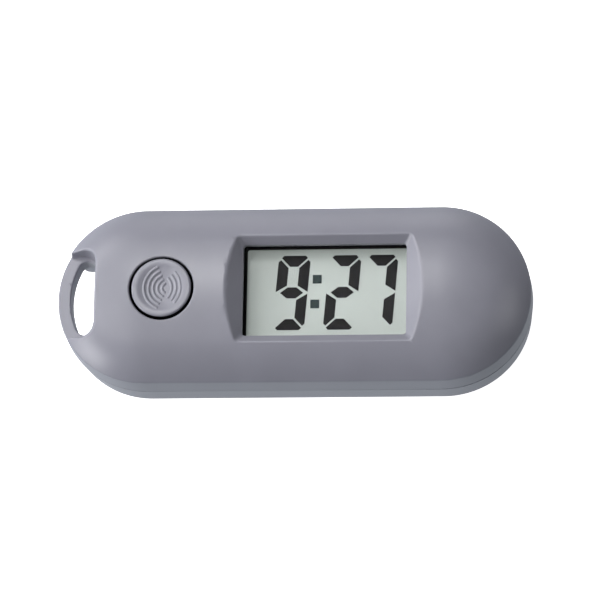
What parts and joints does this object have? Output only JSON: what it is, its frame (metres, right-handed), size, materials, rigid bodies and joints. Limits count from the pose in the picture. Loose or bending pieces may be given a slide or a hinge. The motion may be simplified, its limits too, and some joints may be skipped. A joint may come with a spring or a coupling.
{
  "type": "pocket digital clock",
  "caption": "Pill-shaped pocket clock with a recessed seven-segment display, a round push button, rear keys, a turning battery door and a lanyard bar.",
  "frame": {"origin": "middle of the flat rear face, on the axis of the case", "axes": "+X along the case away from the lanyard bar, +Y towards the top of the digits, +Z out of the display"},
  "size_m": [0.0797, 0.0304, 0.0171],
  "materials": {
    "case_plastic": "satin moulded ABS, cool mid grey",
    "button_plastic": "satin moulded ABS, cool mid grey",
    "black_plastic": "matte moulded",
    "white_plastic": "matte moulded",
    "clear_lens": "clear acrylic, polished",
    "polariser_film": "satin polarising film",
    "lcd_glass": "clear glass, ground edges",
    "lcd_black": "dark liquid crystal segments",
    "lcd_silver": "pale silver-green transflective film",
    "light_guide": "frosted acrylic",
    "black_foam": "closed-cell foam",
    "black_rubber": "satin",
    "pink_rubber": "striped connector rubber",
    "board_green": "solder mask over glass epoxy",
    "black_epoxy": "potted epoxy",
    "chip_ceramic": "ceramic chip parts with tinned ends",
    "switch_metal": "tinned",
    "can_metal": "drawn can",
    "screw_steel": "zinc plated",
    "contact_gold": "gold-plated spring bronze",
    "cell_steel": "nickel-plated"
  },
  "bodies": {
    "case": {"front_shell": "case_plastic", "rear_shell": "case_plastic", "front_switch": "switch_metal", "display_lens": "clear_lens", "display_gasket": "black_foam", "lcd_front_polariser": "polariser_film", "lcd_front_glass": "lcd_glass", "lcd_segments": "lcd_black", "lcd_rear_glass": "lcd_glass", "lcd_reflector": "lcd_silver", "light_guide": "light_guide", "backlight_led": "white_plastic", "zebra_strip": "pink_rubber", "lcd_holder": "white_plastic", "pcb": "board_green", "chip_blob": "black_epoxy", "crystal_can": "can_metal", "smd_parts": "chip_ceramic", "battery_holder": "black_plastic", "contact_negative": "contact_gold", "contact_positive": "contact_gold", "coin_cell": "cell_steel", "cell_gasket": "white_plastic", "cell_cap": "cell_steel", "key_switches": "switch_metal", "pcb_screws": "screw_steel", "case_screws": "screw_steel"},
    "button": {"front_button": "button_plastic", "front_plunger": "black_plastic"},
    "mode": {"mode_key": "black_plastic", "mode_plunger": "white_plastic"},
    "set": {"set_key": "black_plastic", "set_plunger": "white_plastic"},
    "door": {"battery_door": "case_plastic", "door_seal": "black_rubber"}
  },
  "joints": [
    {"name": "button_press", "type": "slide", "parent": "case", "child": "button", "axis": [0, 0, -1], "range_m": [0, 0.0005], "stiffness_N_per_m": 1500},
    {"name": "mode_press", "type": "slide", "parent": "case", "child": "mode", "axis": [0, 0, 1], "range_m": [0, 0.0004], "stiffness_N_per_m": 1500},
    {"name": "set_press", "type": "slide", "parent": "case", "child": "set", "axis": [0, 0, 1], "range_m": [0, 0.0004], "stiffness_N_per_m": 1500},
    {"name": "door_turn", "type": "hinge", "parent": "case", "child": "door", "pos_m": [0.006, 0, 0], "axis": [0, 0, 1], "range_deg": [0, 45]}
  ]
}
